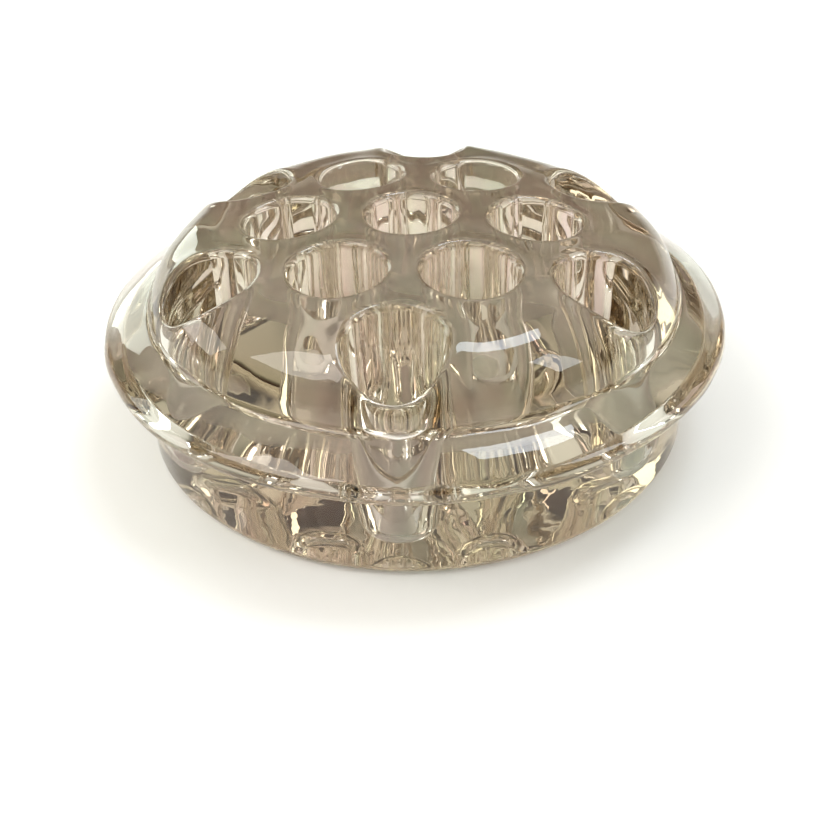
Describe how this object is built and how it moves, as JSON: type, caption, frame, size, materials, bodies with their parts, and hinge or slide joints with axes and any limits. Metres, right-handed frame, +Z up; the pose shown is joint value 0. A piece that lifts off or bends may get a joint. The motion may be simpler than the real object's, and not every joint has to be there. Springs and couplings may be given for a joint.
{
  "type": "flower frog",
  "caption": "Domed round block of clear pressed glass with vertical stem wells, a rounded rim and a short foot, for holding cut flowers in a bowl.",
  "frame": {"origin": "centre of the underside, on the plane the foot rests on", "axes": "+Z up along the block's own axis, +X to the right, one outer well on the -Y side towards the front"},
  "size_m": [0.114, 0.114, 0.0404],
  "materials": {
    "clear_glass": "clear, faintly grey-green, fire-polished pressed glass with soft ripples"
  },
  "bodies": {
    "root": {"glass_body": "clear_glass"}
  },
  "joints": []
}
